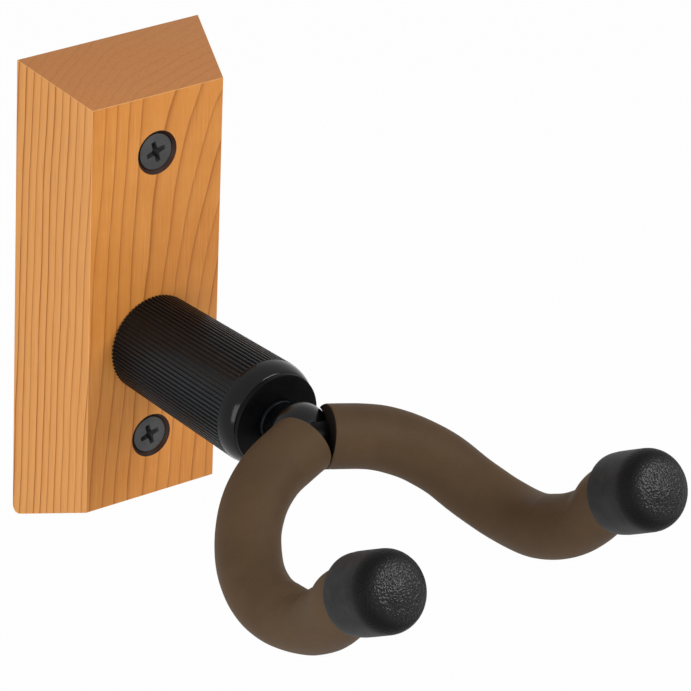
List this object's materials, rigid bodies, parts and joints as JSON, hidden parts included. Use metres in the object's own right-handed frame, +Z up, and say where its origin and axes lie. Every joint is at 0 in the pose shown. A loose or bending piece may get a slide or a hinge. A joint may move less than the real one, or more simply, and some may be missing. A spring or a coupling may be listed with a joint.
{
  "type": "wall guitar hanger",
  "caption": "Wall guitar hanger: a bevelled wood block with a ribbed arm and a padded swivelling yoke whose upturned tips have rubber caps.",
  "frame": {"origin": "centre of the wood block's back face, which lies on the wall", "axes": "+X to the right seen from in front of the wall, -Y out from the wall, +Z up"},
  "size_m": [0.099, 0.2165, 0.127],
  "materials": {
    "block_wood": "oiled cherry, straight grain",
    "black_screw": "black phosphate, satin",
    "sleeve_plastic": "black, fine lengthwise ribs",
    "black_metal": "black gloss enamel",
    "bright_steel": "zinc plated",
    "nylon": "natural",
    "nut_nylon": "blue",
    "tube_rubber": "brown foam rubber, satin skin",
    "cap_rubber": "black, fine wrinkled grain"
  },
  "bodies": {
    "arm": {"wood_block": "block_wood", "wall_screw_upper": "black_screw", "wall_screw_lower": "black_screw", "arm_sleeve": "sleeve_plastic", "core_tube": "bright_steel", "end_collar": "black_metal", "front_bush": "nylon", "rear_bush": "nylon"},
    "yoke": {"yoke_hub": "black_metal", "yoke_rod": "black_metal", "arm_tube_left": "tube_rubber", "arm_tube_right": "tube_rubber", "tip_cap_left": "cap_rubber", "tip_cap_right": "cap_rubber", "spindle": "bright_steel", "thrust_washer": "sleeve_plastic", "flat_washer": "bright_steel", "spring_washer": "bright_steel", "lock_nut": "bright_steel", "nut_insert": "nut_nylon"}
  },
  "joints": [
    {"name": "yoke_swivel", "type": "hinge", "parent": "arm", "child": "yoke", "pos_m": [0, -0.0895, -0.0125], "axis": [0, -1, 0], "continuous": true}
  ]
}
